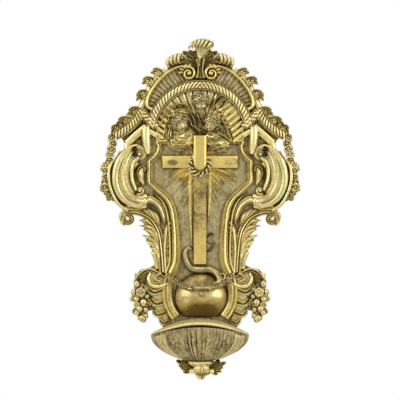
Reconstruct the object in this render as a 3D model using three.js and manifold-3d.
// Wall-hung holy water stoup in gilt bronze: a cartouche-shaped back plate dressed with separate castings,
// with a cross, a crest and a fluted shell basin under a hinged lid.
// Millimetres, +Z up. The wall is the plane y = 0 and the front faces -Y. The origin is on the wall face of
// the hanger strap. Points on the plate are [u, z]: u is the distance from the middle line, z the height.
import * as THREE from "three";
import { mergeVertices } from "three/addons/utils/BufferGeometryUtils.js";
import Module from "manifold-3d";

const wasm = await Module();
wasm.setup();

// Wall side
const WALL_GAP = 8; // room behind the plate for studs and nuts
const PLATE_THICKNESS = 3;
const CLEARANCE = 0.3; // between castings that meet
const STUD_RADIUS = 2;
const STUD_REACH = 4.5; // how far a stud stands out behind the plate
const NUT_RADIUS = 4;
const NUT_HEIGHT = 3;
const STRAP_LENGTH = 76;
const STRAP_HEIGHT = 24;
const STRAP_THICKNESS = 2;
const STRAP_FOOT = 11; // length of each foot that is screwed to the plate
const NAIL_HOLE_RADIUS = 3.5;
const NAIL_HOLE_RISE = 6; // of the nail hole over the origin

// Cross, crown and rays
const CROSSING_Z = -50.4;
const UPRIGHT_WIDTH = 15;
const UPRIGHT_ABOVE = 31.2; // from the crossing to the head of the upright
const UPRIGHT_BELOW = 122.4; // from the crossing to its foot
const ARM_SPAN = 90;
const ARM_HEIGHT = 14.4;
const CROSS_THICKNESS = 5;
const RAY_THICKNESS = 0.7;
const RAY_COUNT = 24;
const RAY_LENGTH = 37;
const CROWN_RADIUS = 11.4;
const CROWN_THICKNESS = 5.6;
const CROWN_TWISTS = 7;
const THORN_LENGTH = 4.6;
const THORNS = 6;

// Arch and niche
const ARCH_Z = -18; // height of the arch's centre
const ARCH_RADIUS = 59.4; // at the middle of the gadrooned band
const ARCH_WIDTH = 12;
const ARCH_SPRING = 9; // degrees over the horizontal where the band ends
const ARCH_HEIGHT = 7; // the band's bed, out from the plate
const GADROON_RISE = 5.4;
const NICHE_RIBS = 11;
const NICHE_HEIGHT = 3; // the fluted shell, out from the plate

// Globe
const GLOBE_DROP = 38.2; // from the foot of the cross to the globe's middle
const GLOBE_HALF_WIDTH = 29;
const GLOBE_HALF_HEIGHT = 24;
const GLOBE_DEPTH = 18;

// Basin and lid
const BASIN_HALF_WIDTH = 58.8;
const BASIN_DEPTH = 48; // from the plate to the front of the rim
const BASIN_HEIGHT = 32; // from the ends of the rim to the bottom
const BASIN_WALL = 3;
const BASIN_FLUTES = 15;
const FLUTE_DEPTH = 1.6;
const RIM_DROP = 85.2; // from the foot of the cross to the two ends of the rim
const RIM_ARCH = 12.8; // how much higher the rim is in the middle
const BACK_DROP = 6; // how much lower the bowl's back wall is than the rim
const LID_GAP = 2; // shadow gap between lid and rim, in the middle
const LID_END_GAP = 0.7; // the same at the ends of the rim
const LID_EDGE = 3.2;
const LID_DOME = 3.4;
const HINGE_FORWARD = 6.5; // hinge axis, out from the plate
const HINGE_LENGTH = 24;
const LID_KNUCKLE_LENGTH = 8;
const KNUCKLE_RADIUS = 3;
const PIN_RADIUS = 1.3;

// Repeats in the ornament
const GARLAND_HUSKS = 12;
const FAN_TONGUES = 5;
const BERRY_ROWS = 7;
const BORDER_LEAVES = 6;

// Worked-out places
const FRONT = -(WALL_GAP + PLATE_THICKNESS); // y of the plate's front
const CROSS_SEAT = RAY_THICKNESS;
const CROWN_SEAT = CROSS_SEAT + CROSS_THICKNESS + CLEARANCE;
const CHERUB_SEAT = NICHE_HEIGHT + CLEARANCE;
const FOOT_Z = CROSSING_Z - UPRIGHT_BELOW;
const GLOBE_Z = FOOT_Z - GLOBE_DROP;
const RIM_END_Z = FOOT_Z - RIM_DROP;
const RIM_MIDDLE_Z = RIM_END_Z + RIM_ARCH;
const HINGE_Y = FRONT - HINGE_FORWARD;
const HINGE_Z = RIM_MIDDLE_Z + LID_GAP + LID_EDGE;
const CUT = 400; // a block larger than any piece

// The ornament is drawn for these sizes of arch, globe and upright, and follows them when they change
const ARCH_FIT = ARCH_RADIUS / 59.4;
const GLOBE_FIT = GLOBE_HALF_WIDTH / 29;
const FOOT_FIT = UPRIGHT_BELOW - 122.4;
const WAIST_Z = -150;
const VOLUTE_Z = -185;
const CLOUD_FOOT_Z = ARCH_Z - 7.5 - 6 * ARCH_FIT;

// How much wider than drawn the ornament is at a height: as the arch above, as the globe below the waist
function growth(z) {
  if (z > WAIST_Z) return THREE.MathUtils.mapLinear(Math.min(z, ARCH_Z), WAIST_Z, ARCH_Z, 1, ARCH_FIT);
  return THREE.MathUtils.mapLinear(Math.max(z, VOLUTE_Z), WAIST_Z, VOLUTE_Z, 1, GLOBE_FIT);
}

// Where a drawn [u, z] point lies on the part
function fitted([u, z]) {
  const raised = Math.max(0, z - ARCH_Z) * (ARCH_FIT - 1);
  const lowered = FOOT_FIT * THREE.MathUtils.clamp((CROSSING_Z - z) / 122.4, 0, 1);
  return [u * growth(z), z + raised - lowered];
}

// Solids: to and from the joining library. A round form is welded at its seam before it is turned or moved.
function welded(geometry, tolerance = 1e-4) {
  const bare = new THREE.BufferGeometry();
  bare.setAttribute("position", geometry.getAttribute("position").clone());
  bare.setIndex(geometry.getIndex());
  return mergeVertices(bare, tolerance);
}

function sphere(sides, rows) {
  return welded(new THREE.SphereGeometry(1, sides, rows));
}

function cylinder(radius, length, sides) {
  return welded(new THREE.CylinderGeometry(radius, radius, length, sides));
}

function toSolid(geometry) {
  const merged = welded(geometry, 1e-7);
  return new wasm.Manifold(
    new wasm.Mesh({
      numProp: 3,
      vertProperties: new Float32Array(merged.attributes.position.array),
      triVerts: new Uint32Array(merged.index.array),
    }),
  );
}

function toGeometry(solid) {
  const mesh = solid.getMesh();
  const geometry = new THREE.BufferGeometry();
  geometry.setAttribute("position", new THREE.BufferAttribute(mesh.vertProperties, 3));
  geometry.setIndex(new THREE.BufferAttribute(mesh.triVerts, 1));
  return geometry;
}

function fuse(...geometries) {
  return toGeometry(geometries.map(toSolid).reduce((a, b) => a.add(b)));
}

function cut(geometry, ...tools) {
  return toGeometry(tools.map(toSolid).reduce((a, b) => a.subtract(b), toSolid(geometry)));
}

// The part of a piece that stands out from the plate by more than base
function seated(geometry, base = 0) {
  const behind = new THREE.BoxGeometry(2 * CUT, CUT, 2 * CUT).translate(0, FRONT - base + CUT / 2, 0);
  return cut(geometry, behind);
}

function mirrored(geometry) {
  const flipped = (geometry.index ? geometry.toNonIndexed() : geometry.clone()).scale(-1, 1, 1);
  const p = flipped.getAttribute("position");
  const [a, b] = [new THREE.Vector3(), new THREE.Vector3()];
  for (let i = 0; i < p.count; i += 3) {
    a.fromBufferAttribute(p, i + 1);
    b.fromBufferAttribute(p, i + 2);
    p.setXYZ(i + 1, b.x, b.y, b.z);
    p.setXYZ(i + 2, a.x, a.y, a.z);
  }
  return flipped;
}

// Forms: rings of points joined into a closed body, with flat ends cut by the section's own triangles
function loft(rings, section) {
  const flat = section.map(([x, y]) => new THREE.Vector2(x, y));
  const caps = THREE.ShapeUtils.triangulateShape(flat, []);
  if (THREE.ShapeUtils.isClockWise(flat)) caps.forEach((corner) => corner.reverse());
  const count = section.length;
  const corners = [];
  for (let i = 0; i + 1 < rings.length; i++) {
    for (let k = 0; k < count; k++) {
      const next = (k + 1) % count;
      const [a, b, c, d] = [rings[i][k], rings[i][next], rings[i + 1][next], rings[i + 1][k]];
      corners.push(a, b, c, a, c, d);
    }
  }
  const last = rings[rings.length - 1];
  for (const [a, b, c] of caps) {
    corners.push(rings[0][c], rings[0][b], rings[0][a], last[a], last[b], last[c]);
  }
  let volume = 0;
  for (let i = 0; i < corners.length; i += 3) {
    volume += corners[i].dot(new THREE.Vector3().crossVectors(corners[i + 1], corners[i + 2]));
  }
  const facing = volume > 0 ? corners : corners.reverse();
  return new THREE.BufferGeometry().setFromPoints(facing);
}

function onPlate(u, z, out) {
  return new THREE.Vector3(u, FRONT - out, z);
}

function path(points) {
  return new THREE.SplineCurve(points.map(([u, z]) => new THREE.Vector2(u, z)));
}

// A moulding on the plate: a section of [across, out] points carried along a path of [u, z] points, which are
// drawn ones that follow the arch, globe and upright, unless they are exact
function moulding(section, points, steps, { swell = () => 1, base = 0, exact = false } = {}) {
  const curve = path(exact ? points : points.map(fitted));
  const rings = [];
  for (let i = 0; i <= steps; i++) {
    const t = i / steps;
    const centre = curve.getPointAt(t);
    const along = curve.getTangentAt(t);
    const size = swell(t);
    const wide = size * (exact ? 1 : growth(centre.y));
    rings.push(
      section.map(([across, out]) =>
        onPlate(centre.x - along.y * across * wide, centre.y + along.x * across * wide, base + out * size),
      ),
    );
  }
  return loft(rings, section);
}

// Sections: a round band, a band with a groove between two ribs, and a hollow band with raised edges
function roundBand(half, out) {
  return [[-half, 0], [-half * 0.75, out * 0.75], [0, out], [half * 0.75, out * 0.75], [half, 0]];
}

function doubleRib(half, out) {
  const ribs = [[-1, 0], [-0.9, 0.8], [-0.5, 1], [-0.1, 0.5], [0.5, 0.85], [0.9, 0.6], [1, 0]];
  return ribs.map(([across, height]) => [half * across, out * height]);
}

function hollowBand(half, out) {
  return [[-half, 0], [-half * 0.85, out], [0, out * 0.62], [half * 0.85, out], [half, 0]];
}

// An acanthus leaf on the plate: two swelling halves beside a sunk midrib, its edge cut into lobes
function leaf(points, half, lobes, { height = 4.5, base = 0, bite = 0.34, exact = false } = {}) {
  const section = [[-1, 0], [-0.55, 1], [0, 0.6], [0.55, 1], [1, 0]];
  const curve = path(exact ? points : points.map(fitted));
  const steps = lobes * 2;
  const rings = [];
  for (let i = 0; i <= steps; i++) {
    const t = i / steps;
    const centre = curve.getPointAt(t);
    const along = curve.getTangentAt(t);
    const body = 0.12 + 0.88 * Math.sin(Math.PI * (0.16 + 0.84 * t)) ** 0.75;
    const width = half * body * (i % 2 ? 1 - bite : 1) * (exact ? 1 : growth(centre.y));
    rings.push(
      section.map(([across, out]) =>
        onPlate(centre.x - along.y * across * width, centre.y + along.x * across * width,
          base + out * height * (0.3 + 0.7 * body)),
      ),
    );
  }
  return loft(rings, section);
}

function ball(place, radius, out, { across = 1, up = 1, depth = 1, sides = 5, rows = 3 } = {}) {
  const [u, z] = fitted(place);
  const wide = radius * growth(z);
  return sphere(sides, rows)
    .scale(wide * across, radius * depth, wide * up)
    .translate(u, FRONT - out, z);
}

// A spiral of [u, z] points about a centre, from the outer radius in to the inner one
function spiral([u, z], outer, inner, start, turns, count) {
  return Array.from({ length: count + 1 }, (_, i) => {
    const angle = start + turns * 2 * Math.PI * (i / count);
    const radius = outer + (inner - outer) * (i / count);
    return [u + radius * Math.cos(angle), z + radius * Math.sin(angle)];
  });
}

// A piece cut flat at the plate, with its stud
function seatedWithStud(geometry, ...places) {
  return fuse(seated(geometry), ...places.map(stud));
}

// A flat sheet parallel to the wall, from a shape drawn in [u, z]
function sheet(shape, thickness, backY) {
  const settings = { depth: thickness, bevelEnabled: false, curveSegments: 10 };
  return new THREE.ExtrudeGeometry(shape, settings).rotateX(Math.PI / 2).translate(0, backY, 0);
}

function outline(points) {
  return new THREE.Shape(points.map(([u, z]) => new THREE.Vector2(u, z)));
}

// A rod along Y, between two depths
function rod([u, z], radius, fromY, toY, sides = 8) {
  return cylinder(radius, Math.abs(toY - fromY), sides)
    .translate(u, (fromY + toY) / 2, z);
}

// A rod along X
function crossRod(radius, fromX, toX, y, z, sides = 8) {
  return cylinder(radius, toX - fromX, sides)
    .rotateZ(Math.PI / 2)
    .translate((fromX + toX) / 2, y, z);
}

function block(fromX, toX, fromY, toY, fromZ, toZ) {
  return new THREE.BoxGeometry(toX - fromX, toY - fromY, toZ - fromZ)
    .translate((fromX + toX) / 2, (fromY + toY) / 2, (fromZ + toZ) / 2);
}

// Egg-shaped lobes set slantwise along a path, on the bed of a moulding
function gadroons(points, count, half, slant, bed) {
  const curve = path(points);
  return Array.from({ length: count }, (_, i) => {
    const t = (i + 0.5) / count;
    const centre = curve.getPointAt(t);
    const along = curve.getTangentAt(t);
    const pitch = curve.getLength() / count;
    return sphere(5, 3)
      .scale(pitch * 0.46, GADROON_RISE, half)
      .rotateY(slant - Math.atan2(along.y, along.x))
      .translate(centre.x, FRONT - bed, centre.y);
  });
}

// Fasteners: a stud is cast on its piece, goes through the plate and takes a nut behind
const CROSS_STUD = [0, CROSSING_Z];
const GLOBE_STUD = [0, GLOBE_Z];
const FINIAL_STUD = fitted([0, 66]);
const SIDE_STUD = fitted([93, -72]);
const BASIN_STUD = [24, RIM_END_Z - 10];
const SCREW_PLACE = [(STRAP_LENGTH - STRAP_FOOT) / 2, 0];
const opposite = ([u, z]) => [-u, z];

function stud(place) {
  return rod(place, STUD_RADIUS, FRONT - 1, -WALL_GAP + STUD_REACH);
}

function studHole(place) {
  return rod(place, STUD_RADIUS + CLEARANCE, FRONT - 2, 0);
}

function nut(place) {
  const body = rod(place, NUT_RADIUS, -WALL_GAP, -WALL_GAP + NUT_HEIGHT, 6);
  return cut(body, studHole(place));
}

// Back plate: half the outline as smooth stretches that meet at corners, the other half mirrored
function backPlate() {
  const stretches = [
    [[0, 74], [24, 71], [46, 57], [60, 41], [68, 24], [72, 12]],
    [[72, 12], [86, 2], [103, -15]],
    [[103, -15], [90, -27], [89, -38], [98, -48]],
    [[98, -48], [112, -58], [116, -74], [110, -94], [88, -107]],
    [[88, -107], [62, -122], [53, -142], [51, -172]],
    [[51, -172], [66, -180], [77, -192], [76, -222], [68, -230]],
    [[68, -230], [58, -226], [49, -240], [36, -264], [19, -286], [0, -300]],
  ];
  const half = stretches
    .flatMap((points) => path(points.map(fitted)).getPoints(4).slice(0, -1))
    .map((p) => [p.x, p.y]);
  const whole = [...half, fitted([0, -300]), ...half.slice(1).reverse().map(opposite)];
  const plate = sheet(outline(whole), PLATE_THICKNESS, -WALL_GAP);
  const places = [CROSS_STUD, GLOBE_STUD, FINIAL_STUD];
  for (const place of [SIDE_STUD, BASIN_STUD, SCREW_PLACE]) places.push(place, opposite(place));
  return cut(plate, ...places.map(studHole));
}

// Hanger strap: a bridge from the plate to the wall, with the nail hole over the origin
function hangerStrap() {
  const half = STRAP_LENGTH / 2;
  const rise = half - STRAP_FOOT;
  const foot = -WALL_GAP;
  const bridge = new THREE.Shape([
    [-half, foot], [-rise, foot], [-rise + WALL_GAP, -STRAP_THICKNESS], [rise - WALL_GAP, -STRAP_THICKNESS],
    [rise, foot], [half, foot], [half, foot + STRAP_THICKNESS], [rise + 1, foot + STRAP_THICKNESS],
    [rise + 1 - WALL_GAP + STRAP_THICKNESS, 0], [-rise - 1 + WALL_GAP - STRAP_THICKNESS, 0],
    [-rise - 1, foot + STRAP_THICKNESS], [-half, foot + STRAP_THICKNESS],
  ].map(([x, y]) => new THREE.Vector2(x, y)));
  const strap = new THREE.ExtrudeGeometry(bridge, { depth: STRAP_HEIGHT, bevelEnabled: false })
    .translate(0, 0, -STRAP_HEIGHT / 2);
  const nailHole = rod([0, NAIL_HOLE_RISE], NAIL_HOLE_RADIUS, -WALL_GAP + 1, 1, 14);
  return cut(strap, nailHole, studHole(SCREW_PLACE), studHole(opposite(SCREW_PLACE)));
}

function hangerScrew() {
  const seat = -WALL_GAP + STRAP_THICKNESS;
  const shank = rod(SCREW_PLACE, STUD_RADIUS, FRONT + CLEARANCE, seat + 1);
  return fuse(shank, rod(SCREW_PLACE, NUT_RADIUS, seat, seat + NUT_HEIGHT));
}

// Frame of the panel, with the step at the cloud and the waist below
function panelFrame() {
  const run = [[41, -25.2], [49.5, -26], [53, -39], [60, -51], [60, -75], [49, -84], [38.5, -94], [33, -106],
    [30, -126], [28.4, -151], [29, -171], [34.5, -184]];
  return moulding(doubleRib(3.9, 6.5), run, 18, { swell: (t) => 0.9 + 0.3 * t });
}

function cross() {
  const [half, arm, rise] = [UPRIGHT_WIDTH / 2, ARM_SPAN / 2, ARM_HEIGHT / 2];
  const shape = outline([
    [-half, -UPRIGHT_BELOW], [half, -UPRIGHT_BELOW], [half, -rise], [arm, -rise], [arm, rise], [half, rise],
    [half, UPRIGHT_ABOVE], [-half, UPRIGHT_ABOVE], [-half, rise], [-arm, rise], [-arm, -rise], [-half, -rise],
  ]);
  const beams = sheet(shape, CROSS_THICKNESS, FRONT - CROSS_SEAT).translate(0, 0, CROSSING_Z);
  return fuse(beams, stud(CROSS_STUD));
}

// Sunburst under the cross: a thin star, longest below the arms
function gloryRays() {
  const star = Array.from({ length: 2 * RAY_COUNT }, (_, i) => {
    const angle = (Math.PI * i) / RAY_COUNT;
    const long = RAY_LENGTH - 9 * Math.sin(angle);
    const radius = i % 2 ? long : 15;
    return [radius * Math.cos(angle), CROSSING_Z + radius * Math.sin(angle)];
  });
  const underClouds = block(-CUT, CUT, -CUT, CUT, CLOUD_FOOT_Z - CLEARANCE, CUT);
  return cut(sheet(outline(star), RAY_THICKNESS, FRONT), studHole(CROSS_STUD), underClouds);
}

// Crown of thorns: two strands twisted round each other in an open ring that hangs on the crossing
function crownOfThorns() {
  const [sides, steps] = [6, 28];
  const gap = Math.asin((UPRIGHT_WIDTH / 2 + CLEARANCE) / CROWN_RADIUS) + 0.2;
  const sweep = 2 * Math.PI - 2 * gap;
  const middle = CROWN_SEAT + CROWN_THICKNESS / 2;
  const centreZ = CROSSING_Z - ARM_HEIGHT / 4;
  const section = Array.from({ length: sides }, (_, k) => {
    const angle = (2 * Math.PI * k) / sides;
    const radius = (CROWN_THICKNESS / 2) * (0.68 + 0.32 * Math.cos(2 * angle));
    return [radius * Math.cos(angle), radius * Math.sin(angle)];
  });
  const place = (angle, across, out) => {
    const radius = CROWN_RADIUS + across;
    return onPlate(radius * Math.sin(angle), centreZ + radius * Math.cos(angle), middle + out);
  };
  const rings = [];
  for (let i = 0; i <= steps; i++) {
    const angle = gap + (sweep * i) / steps;
    const twist = (Math.PI * CROWN_TWISTS * i) / steps;
    const [c, s] = [Math.cos(twist), Math.sin(twist)];
    rings.push(section.map(([x, y]) => place(angle, x * c - y * s, x * s + y * c)));
  }
  const thorns = Array.from({ length: THORNS }, (_, i) => {
    const angle = gap + (sweep * (i + 0.5)) / THORNS;
    const lean = i % 2 ? 0.5 : -0.5;
    const root = place(angle, 0.4, 0);
    return welded(new THREE.ConeGeometry(0.8, THORN_LENGTH, 3))
      .translate(0, THORN_LENGTH / 2, 0)
      .rotateX(-Math.PI / 2 + 1.1)
      .rotateY(angle + lean + Math.PI)
      .translate(root.x, root.y, root.z);
  });
  return seated(fuse(loft(rings, section), ...thorns), CROWN_SEAT);
}

function globeBody(grow = 0) {
  return sphere(16, 10)
    .rotateX(Math.PI / 2)
    .scale(GLOBE_HALF_WIDTH + grow, GLOBE_DEPTH + grow, GLOBE_HALF_HEIGHT + grow)
    .translate(0, FRONT, GLOBE_Z);
}

function globe() {
  return seatedWithStud(globeBody(), GLOBE_STUD);
}

// Serpent: tail beside the cross, body under its foot and round on to the globe, head in front
function serpent() {
  const top = GLOBE_Z + GLOBE_HALF_HEIGHT;
  const run = new THREE.CatmullRomCurve3([
    onPlate(-12.5, top + 30, 1.2), onPlate(-17.5, top + 26, 2.2), onPlate(-17, top + 14, 3),
    onPlate(-9.5, top + 7.2, 3.3), onPlate(3, top + 7.4, 3.4), onPlate(14, top + 7, 3.6),
    onPlate(22, top - 0.5, 6.5), onPlate(19.5, top - 8.5, 14), onPlate(9, top - 12, 20),
    onPlate(-3, top - 13.5, 21.4), onPlate(-10, top - 13, 20),
  ]);
  const [sides, steps] = [6, 20];
  const round = Array.from({ length: sides }, (_, k) => {
    const angle = (2 * Math.PI * k) / sides;
    return [Math.cos(angle), Math.sin(angle)];
  });
  const rings = [];
  for (let i = 0; i <= steps; i++) {
    const t = i / steps;
    const centre = run.getPointAt(t);
    const along = run.getTangentAt(t);
    const side = new THREE.Vector3(0, 1, 0).cross(along).normalize();
    const lift = new THREE.Vector3().crossVectors(along, side);
    const body = 0.7 + 2.6 * Math.min(1, 2.2 * t);
    const neck = t < 0.86 ? 1 : 1 - 0.3 * Math.sin((Math.PI * (t - 0.86)) / 0.08);
    const radius = t > 0.94 ? body * (1.35 - 14 * (t - 0.94)) : body * neck;
    rings.push(
      round.map(([a, b]) =>
        centre.clone().addScaledVector(side, a * radius).addScaledVector(lift, b * radius)),
    );
  }
  return seated(cut(loft(rings, round), globeBody(CLEARANCE)));
}

function globeFrame() {
  const inner = GLOBE_HALF_WIDTH + CLEARANCE;
  const run = [[7.2, 16], [8, 3], [6.6, -10], [1.5, -20], [-2, -25]];
  const round = run.map(([u, z]) => [inner + u, GLOBE_Z + z]);
  return moulding(doubleRib(6.2, 8.5), round, 11, { exact: true });
}

// Lower scroll: a volute over a fan of tongues that narrows towards the basin
function lowerScroll() {
  const eye = [53.4, -190];
  const band = moulding(roundBand(2.1, 8), spiral(eye, 9.2, 2.6, 3.6, 1.35, 20), 14);
  const fall = [[54, -197], [54, -212], [51, -227], [46.5, -240]];
  const fan = moulding(roundBand(8.4, 6.4), fall, 2 * FAN_TONGUES, {
    swell: (t) => (1 - 0.45 * t) * (0.84 + 0.16 * Math.cos(2 * Math.PI * (FAN_TONGUES * t + 0.5))),
  });
  return fuse(band, fan);
}

// Fruit cluster: three columns of berries that narrow downwards, under a leaf
function fruitCluster() {
  const berries = [[-1, 0], [-0.68, 0.85], [-0.36, 0.4], [0, 1], [0.36, 0.4], [0.68, 0.85], [1, 0]];
  const section = berries.map(([across, out]) => [9.6 * across, 8 * out]);
  const bunch = moulding(section, [[73, -187], [73.5, -206], [71.5, -240]], 2 * BERRY_ROWS, {
    swell: (t) => (1 - 0.55 * t * t) * (0.8 - 0.2 * Math.cos(2 * Math.PI * BERRY_ROWS * t)),
  });
  return fuse(bunch, leaf([[64.5, -181], [71, -181.5], [80, -189]], 5, 3));
}

// Acanthus spray of the waist: a stem that curls outwards, with lobed leaves on both sides
function acanthusSpray() {
  const stem = [[46.5, -176], [48, -156], [51.5, -140], [59, -125.5], [69, -117], [79, -113]];
  const curl = spiral([87.5, -120.5], 7.6, 2.4, 1.9, -1.1, 10);
  return fuse(
    moulding(roundBand(3.2, 6.5), [...stem, ...curl], 16, { swell: (t) => 1.15 - 0.4 * t }),
    leaf([[50, -128], [62, -124.5], [73, -127]], 5.2, 2),
    leaf([[46, -146], [58, -138.5], [70, -139]], 5.6, 2),
    leaf([[45, -163], [54, -154], [61.5, -153]], 4.6, 2),
    leaf([[41.5, -178], [42.5, -156], [43.5, -140], [43.5, -121]], 5.4, 3),
  );
}

// Side scroll: hollow bands that run as a C round the shoulder of the panel and end in leaf curls
function sideScroll() {
  const field = [[71, -42], [102, -50], [106, -80], [84, -106], [56, -100], [66, -90]];
  const hollow = [[94.5, -49], [99.4, -62], [98.8, -77], [92.8, -90], [82.5, -99.5], [72, -103]];
  const rib = [[75, -42], [83.5, -52], [88.2, -66], [86.3, -79], [78.5, -89], [70, -92.5]];
  const bed = sheet(outline(field.map(fitted)), 1.6, FRONT);
  return seatedWithStud(fuse(
    bed,
    moulding(roundBand(2.1, 9), [[102.5, -50], [107.4, -63], [106.6, -79], [99.5, -95], [85, -107]], 6),
    moulding(hollowBand(5.2, 12), hollow, 7,
      { swell: (t) => 0.6 + 0.4 * Math.sin(Math.PI * t) ** 0.6 }),
    moulding(roundBand(2.7, 14), rib, 7),
    moulding(roundBand(4.2, 10), [[72, -97.5], [60, -95.5], [50.5, -101], [44.5, -112]], 4),
    leaf([[72.5, -49], [69.6, -60], [70.5, -75]], 4, 2),
    ball([73, -42.5], 6.4, 5),
  ), SIDE_STUD);
}

// Garland: a string of husks down the outer edge, free of the plate beside the eyelet
function garland() {
  const run = [[105, -24.5], [106.8, -36], [110.8, -48], [114.8, -60], [115.4, -72], [114, -84], [111, -94]];
  const swell = (t) => 0.62 + 0.38 * Math.cos(2 * Math.PI * GARLAND_HUSKS * t);
  return moulding(roundBand(4.4, 7.6), run, 2 * GARLAND_HUSKS, { swell });
}

// The arch: a bed between two fillets, with slanted gadroons from the springing on both sides to the crown
function archPoints(from, to, radius = ARCH_RADIUS) {
  return Array.from({ length: 19 }, (_, i) => {
    const angle = THREE.MathUtils.degToRad(from + ((to - from) * i) / 18);
    return [radius * Math.cos(angle), ARCH_Z + radius * Math.sin(angle)];
  });
}

function archBed() {
  const half = ARCH_WIDTH / 2;
  const top = ARCH_HEIGHT;
  const fillets = [[-half, top + 3], [-half + 2.4, top], [half - 2.4, top], [half, top + 2]];
  const section = [[-half, 0], ...fillets, [half, 0]];
  return moulding(section, archPoints(ARCH_SPRING, 180 - ARCH_SPRING), 20, { exact: true });
}

// Room that the shoulders keep free for the arch, gadroons included
function archRoom() {
  const [half, top] = [ARCH_WIDTH / 2 + CLEARANCE, ARCH_HEIGHT + 2 * GADROON_RISE];
  const section = [[-half, -1], [-half, top], [half, top], [half, -1]];
  return moulding(section, archPoints(ARCH_SPRING - 1, 181 - ARCH_SPRING), 20, { exact: true });
}

function archMoulding() {
  const right = gadroons(archPoints(ARCH_SPRING + 1, 89), 10, ARCH_WIDTH / 2 - 1.4, 0.45, ARCH_HEIGHT);
  return fuse(archBed(), ...right, ...right.map(mirrored));
}

function nicheShell() {
  const radius = ARCH_RADIUS - ARCH_WIDTH / 2 - 2 * CLEARANCE;
  const shape = new THREE.Shape();
  shape.absarc(0, ARCH_Z, radius, 0, Math.PI);
  const ribs = Array.from({ length: NICHE_RIBS }, (_, i) => {
    const angle = Math.PI * (0.06 + (0.88 * i) / (NICHE_RIBS - 1));
    const reach = (r) => [r * Math.cos(angle), ARCH_Z + r * Math.sin(angle)];
    return moulding(roundBand(2.4, NICHE_HEIGHT), [reach(20), reach(radius - 2)], 1, { exact: true });
  });
  return fuse(sheet(shape, NICHE_HEIGHT / 2, FRONT), ...ribs);
}

// Broken cornice of the shoulder: a short return up from the arch to the peak, and a rake down outwards
function shoulderCornice() {
  const [back, rake] = [[[60, -2.2], [68, 7]], [[67, 8], [86.4, -4.6], [102.5, -19]]];
  const half = ARCH_WIDTH / 2;
  const bed = [[-half, 0], [-half, ARCH_HEIGHT + 2], [-half + 2.4, ARCH_HEIGHT], [half - 2.4, ARCH_HEIGHT],
    [half, ARCH_HEIGHT + 3], [half, 0]];
  const solid = fuse(
    moulding(bed, back, 1),
    moulding(bed, rake, 4),
    ...gadroons([[60, -2.2], [66.5, 5.2]].map(fitted), 2, half - 1.4, -0.4, ARCH_HEIGHT),
    ...gadroons([[69, 6.6], [86.4, -4.6], [102, -18.5]].map(fitted), 6, half - 1.4, 0.4, ARCH_HEIGHT),
  );
  return seated(cut(solid, archRoom()));
}

// Console under the shoulder: a smooth tapering scroll between the two legs of a plain fascia
function shoulderConsole() {
  const fascia = roundBand(2.7, 5);
  return fuse(
    moulding(fascia, [[86.5, -29], [67, -10.5]], 1),
    moulding(fascia, [[68, -10.5], [56, -18]], 1),
    moulding(roundBand(5.6, 12), [[64.5, -11], [65, -24], [63.8, -43]], 5, {
      swell: (t) => 1 - 0.82 * t ** 1.6,
    }),
  );
}

// Crest: rails that end in volutes, fluted lunettes under them and a border of leaves outside
const VOLUTE_EYE = [13.8, 55.6];
const RAIL = [[58.5, 12.8], [62.9, 16.8], [62, 26], [54.5, 40], [42.5, 53.6], [28, 62.4], [19, 64.5]];

function crestScroll() {
  const run = [...RAIL, ...spiral(VOLUTE_EYE, 8, 2.4, 1.5, 1.3, 16)];
  return moulding(roundBand(1.9, 9), run, 26);
}

function crestFlutes() {
  const ribs = [];
  const inner = ARCH_RADIUS + ARCH_WIDTH / 2 + 0.6;
  const lower = [];
  const upper = [];
  const edge = path(RAIL.slice(1, 6).map(fitted));
  for (let i = 0; i <= 5; i++) {
    const angle = THREE.MathUtils.degToRad(36 + 7 * i);
    const far = edge.getPointAt(0.29 + 0.134 * i);
    const near = [inner * Math.cos(angle), ARCH_Z + inner * Math.sin(angle)];
    const toEye = Math.hypot(far.x - near[0], far.y - near[1]);
    const keep = (toEye - 4) / toEye;
    const end = [near[0] + (far.x - near[0]) * keep, near[1] + (far.y - near[1]) * keep];
    lower.push(near);
    upper.unshift(end);
    const from = [near[0] + (end[0] - near[0]) * 0.04, near[1] + (end[1] - near[1]) * 0.04];
    ribs.push(moulding(roundBand(1.7, 4), [from, end], 1, { exact: true }));
  }
  return fuse(sheet(outline([...lower, ...upper]), 2, FRONT), ...ribs);
}

// One lobed strip: each leaf widens outwards along the strip to its tip, and the next starts narrow behind it
function crestLeaves() {
  const run = [[46.5, 60], [59, 44.5], [67.5, 28.5], [73, 20], [88.5, 9.6], [100.8, -1.8], [109, -12.5]];
  const strip = path(run.map(fitted));
  const lobes = [[0, 2.6], [0.3, 6], [0.62, 8.4], [0.9, 5.2]];
  const rings = [];
  const section = [[0, 0], [0.2, 0.8], [0.5, 1], [0.8, 0.6], [1, 0]];
  for (let i = 0; i < BORDER_LEAVES; i++) {
    for (const [along, width] of lobes) {
      const t = (i + along) / (BORDER_LEAVES - 0.1);
      const [foot, way] = [strip.getPointAt(t), strip.getTangentAt(t)];
      const reach = (across) => (across * width - 2) * growth(foot.y);
      rings.push(section.map(([across, out]) =>
        onPlate(foot.x - way.y * reach(across), foot.y + way.x * reach(across), out * (2.5 + width / 2))));
    }
  }
  return loft(rings, section);
}

function crestCurl() {
  return seated(fuse(
    leaf([[11, 70.5], [20, 71.5], [31.8, 77]], 3.4, 2, { height: 5 }),
    moulding(roundBand(2.5, 8), spiral([35, 72.8], 5.6, 2, 2.3, -0.95, 10), 8),
    ball([35, 72.8], 3.6, 4),
  ));
}

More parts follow.
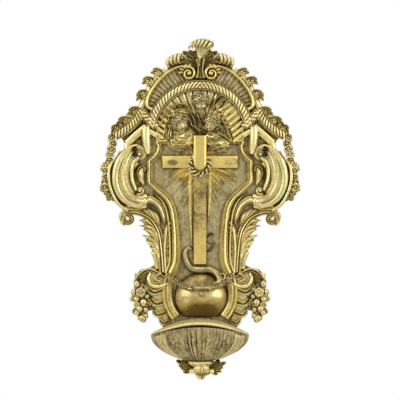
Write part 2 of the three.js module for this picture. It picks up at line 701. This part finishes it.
// Finial: a waisted stem with two side leaves and a tall leaf whose tip curls forward
function crestFinial() {
  const swell = (t) => 0.8 + 0.6 * t * t;
  const stem = moulding(roundBand(4.6, 9), [[0, 49], [0, 60], [0, 72]], 4, { swell });
  const sides = leaf([[3, 72], [9.5, 80.5], [20.5, 86]], 4.2, 2, { height: 6 });
  const plume = leaf([[0, 66], [0, 80], [0, 96]], 12, 3, { height: 9, bite: 0.2 });
  const curl = ball([0, 90.4], 1, 10, { across: 13.4, depth: 8.5, up: 6.6, sides: 9, rows: 5 });
  return seatedWithStud(fuse(stem, sides, mirrored(sides), plume, curl), FINIAL_STUD);
}

// Cherub: a head with curls over the brow, and feathered wings, seated on the fluted shell
function cherub([x, z], radius, wings) {
  const middle = CHERUB_SEAT + radius * 0.75;
  const head = ball([x, z], radius, middle, { across: 0.92, up: 1.04, sides: 9, rows: 5 });
  const curls = [0, 1, 2, 3].map((i) => {
    const angle = Math.PI * (0.12 + 0.25 * i);
    const [across, up] = [0.82 * Math.cos(angle), 0.2 + 0.82 * Math.sin(angle)];
    return ball([x + radius * across, z + radius * up], radius * 0.42,
      middle + radius * 0.42, { sides: 5, rows: 3 });
  });
  const feather = { height: 7, base: CHERUB_SEAT, bite: 0.25 };
  const feathers = wings.map(([run, half]) => leaf(run, half, 3, feather));
  const group = seated(fuse(head, ...curls, ...feathers), CHERUB_SEAT);
  return cut(group, block(-CUT, CUT, -CUT, CUT, -CUT, ARCH_Z + CLEARANCE));
}

function cloud() {
  const puffs = [[13.5, -26, 5.2], [20.5, -25.5, 6], [28.5, -25, 5.6], [34, -24.4, 4.4]];
  const bank = fuse(...puffs.map(([u, z, r]) => ball([u, z], r, 2, { sides: 6, rows: 3 })));
  return cut(seated(bank), block(-CUT, CUT, -CUT, CUT, ARCH_Z - CLEARANCE, CUT));
}

// Basin: half an ellipsoid with an arched rim, fluted outside and open at the top
function rimZ(x) {
  return RIM_END_Z + RIM_ARCH * (1 - (x / BASIN_HALF_WIDTH) ** 2);
}

function bowlRing(dip, inset, fluted) {
  const [front, back] = [2 * BASIN_FLUTES, 4];
  const angle = THREE.MathUtils.degToRad(dip);
  const size = Math.cos(angle);
  const across = (BASIN_HALF_WIDTH - inset) * size;
  const depth = (BASIN_DEPTH - CLEARANCE - 2 * inset) * size;
  const backY = FRONT - CLEARANCE - inset;
  const height = (x, drop) =>
    RIM_END_Z + (rimZ(x) - drop - RIM_END_Z) * (1 - Math.sin(angle)) -
    (BASIN_HEIGHT - inset) * Math.sin(angle);
  const ring = [];
  for (let i = 0; i <= front; i++) {
    const turn = (Math.PI * i) / front;
    const wave = fluted ? FLUTE_DEPTH * (i % 2) * Math.sin(2 * angle) * Math.min(1, 3 * Math.sin(turn)) : 0;
    const x = (across - wave) * Math.cos(turn);
    ring.push(new THREE.Vector3(x, backY - (depth - wave) * Math.sin(turn), height(x, 0)));
  }
  for (let i = 1; i < back; i++) {
    const x = -across + (2 * across * i) / back;
    ring.push(new THREE.Vector3(x, backY, height(x, BACK_DROP)));
  }
  return ring;
}

function bowlSection() {
  return bowlRing(0, 0, false).map((p) => [p.x, p.y]);
}

const BOWL_DIPS = [80, 62, 44, 26, 9, 0];

function basin() {
  const outside = BOWL_DIPS.map((dip) => bowlRing(dip, 0, true));
  const inside = [0, 24, 50, 74].map((dip) => bowlRing(dip, BASIN_WALL, false));
  return fuse(loft([...outside, ...inside], bowlSection()), stud(BASIN_STUD), stud(opposite(BASIN_STUD)));
}

// Room that the leaf cup keeps free for the bowl
function bowlRoom() {
  return sphere(12, 10)
    .rotateX(Math.PI / 2)
    .scale(BASIN_HALF_WIDTH + 1.5, BASIN_DEPTH + 1.5, BASIN_HEIGHT + 1)
    .translate(0, FRONT, RIM_END_Z);
}

// Leaf cup: a turned drop under the bowl, with a leaf to each side
function leafCup() {
  const bottom = RIM_END_Z - BASIN_HEIGHT;
  const profile = [[0, -21], [4.5, -19], [7, -14], [5.4, -9.5], [9, -5], [17, 0], [15, 4], [0, 4]];
  const drop = welded(new THREE.LatheGeometry(profile.map(([r, h]) => new THREE.Vector2(r, h)), 10))
    .rotateX(Math.PI / 2)
    .scale(1, 0.8, 1)
    .translate(0, FRONT - 9, bottom);
  const run = [[5, bottom - 8], [17, bottom - 5], [30, bottom + 6]];
  const side = leaf(run, 6, 2, { height: 13, exact: true });
  const group = fuse(drop, side, mirrored(side));
  return seated(cut(group, bowlRoom()));
}

// Lid: a shallow dome that follows the arched rim, with a knuckle in the middle of its back edge
function lidRing(scale, under) {
  const [front, back] = [20, 6];
  const backY = HINGE_Y; // nothing of the lid swings down behind the axis
  const depth = BASIN_DEPTH - HINGE_FORWARD;
  const half = BASIN_HALF_WIDTH - 0.4;
  const at = (x, y) => {
    const bottom = rimZ(x) + LID_END_GAP + (LID_GAP - LID_END_GAP) * (1 - (x / BASIN_HALF_WIDTH) ** 2);
    const rise = LID_EDGE * (1 - 0.35 * (x / half) ** 2) + LID_DOME * (1 - scale * scale);
    return new THREE.Vector3(x, y, under ? bottom + LID_DOME * 0.5 * (1 - scale * scale) : bottom + rise);
  };
  const ring = [];
  for (let i = 0; i <= front; i++) {
    const turn = (Math.PI * i) / front;
    ring.push(at(scale * half * Math.cos(turn), backY - scale * depth * Math.sin(turn)));
  }
  for (let i = 1; i < back; i++) ring.push(at(-scale * half * (1 - (2 * i) / back), backY));
  return ring;
}

function lid() {
  const section = lidRing(1, true).map((p) => [p.x, p.y]);
  const under = [0.1, 1].map((scale) => lidRing(scale, true));
  const over = [1, 0.86, 0.5, 0.1].map((scale) => lidRing(scale, false));
  const half = HINGE_LENGTH / 2 + CLEARANCE;
  const tongue = LID_KNUCKLE_LENGTH / 2;
  const notch = block(-half, half, HINGE_Y - KNUCKLE_RADIUS - 1, FRONT, HINGE_Z - 20, HINGE_Z + 20);
  const shell = cut(loft([...under, ...over], section), notch);
  const barrel = crossRod(KNUCKLE_RADIUS, -tongue, tongue, HINGE_Y, HINGE_Z);
  const arm = block(-tongue, tongue, HINGE_Y - KNUCKLE_RADIUS - 4, HINGE_Y, HINGE_Z - 1.6, HINGE_Z + 1.6);
  const bore = crossRod(PIN_RADIUS + CLEARANCE, -tongue - 1, tongue + 1, HINGE_Y, HINGE_Z);
  return cut(fuse(shell, arm, barrel), bore);
}

// Hinge bracket on the plate: a leaf with two outer knuckles
function hingeBracket() {
  const [inner, outer] = [LID_KNUCKLE_LENGTH / 2 + CLEARANCE, HINGE_LENGTH / 2];
  const leafPlate = block(-outer, outer, FRONT - 2, FRONT, HINGE_Z - 3, HINGE_Z + 3);
  const knuckle = fuse(
    crossRod(KNUCKLE_RADIUS, inner, outer, HINGE_Y, HINGE_Z),
    block(inner, outer, HINGE_Y, FRONT - 1, HINGE_Z - 1.8, HINGE_Z + 1.8),
  );
  const bore = crossRod(PIN_RADIUS + CLEARANCE, -outer - 1, outer + 1, HINGE_Y, HINGE_Z);
  return cut(fuse(leafPlate, knuckle, mirrored(knuckle)), bore);
}

function hingePin() {
  const half = HINGE_LENGTH / 2;
  return crossRod(PIN_RADIUS, -half, half, HINGE_Y, HINGE_Z);
}

// Finishes
const gilt = new THREE.MeshStandardMaterial({ color: 0xc0a85f, roughness: 0.35, metalness: 1 });
const burnished = new THREE.MeshStandardMaterial({ color: 0xdcc274, roughness: 0.22, metalness: 1 });
const matted = new THREE.MeshStandardMaterial({ color: 0x9c8c5a, roughness: 0.6, metalness: 1 });
const dark = new THREE.MeshStandardMaterial({ color: 0x8a7b54, roughness: 0.5, metalness: 1 });
const fixing = new THREE.MeshStandardMaterial({ color: 0xa08a4e, roughness: 0.5, metalness: 1 });

const stoup = new THREE.Group();

function add(name, geometry, material) {
  const mesh = new THREE.Mesh(geometry, material);
  mesh.name = name;
  stoup.add(mesh);
}

// A piece on the right and its mirror image on the left
function addPair(name, geometry, material) {
  add(name + "_right", geometry, material);
  add(name + "_left", mirrored(geometry), material);
}

add("back_plate", backPlate(), matted);
add("hanger_strap", hangerStrap(), fixing);
addPair("hanger_screw", hangerScrew(), fixing);
addPair("panel_frame", panelFrame(), gilt);
add("glory_rays", gloryRays(), matted);
add("cross", cross(), burnished);
add("cross_nut", nut(CROSS_STUD), fixing);
add("crown_of_thorns", crownOfThorns(), gilt);
add("globe", globe(), burnished);
add("globe_nut", nut(GLOBE_STUD), fixing);
add("serpent", serpent(), gilt);
addPair("globe_frame", globeFrame(), gilt);
addPair("lower_scroll", lowerScroll(), gilt);
addPair("fruit_cluster", fruitCluster(), gilt);
addPair("acanthus_spray", acanthusSpray(), gilt);
addPair("side_scroll", sideScroll(), gilt);
addPair("side_scroll_nut", nut(SIDE_STUD), fixing);
addPair("garland", garland(), gilt);
add("arch_moulding", archMoulding(), gilt);
add("niche_shell", nicheShell(), matted);
addPair("shoulder_cornice", shoulderCornice(), gilt);
addPair("shoulder_console", shoulderConsole(), burnished);
addPair("crest_scroll", crestScroll(), burnished);
addPair("crest_flutes", crestFlutes(), gilt);
addPair("crest_leaves", crestLeaves(), gilt);
addPair("crest_curl", crestCurl(), gilt);
add("crest_finial", crestFinial(), gilt);
add("finial_nut", nut(FINIAL_STUD), fixing);
add("cherub_top", cherub([0, 20], 9.5, [
  [[[7, 20], [13.5, 25.5], [21, 23]], 4], [[[-7, 20], [-13.5, 25.5], [-21, 23]], 4]]), gilt);
add("cherub_right", cherub([19, -3.5], 9, [[[[25, 0], [34, 12], [42.5, 4], [45, -14]], 6]]), gilt);
add("cherub_left", cherub([-24, -4.5], 9, [[[[-30, 0], [-37, 9.5], [-43, 1], [-45, -14]], 5.4]]), gilt);
addPair("cloud", cloud(), gilt);
add("basin", basin(), dark);
addPair("basin_nut", nut(BASIN_STUD), fixing);
add("leaf_cup", leafCup(), gilt);
add("hinge_bracket", hingeBracket(), gilt);
add("hinge_pin", hingePin(), fixing);
add("lid", lid(), burnished);

export default stoup;
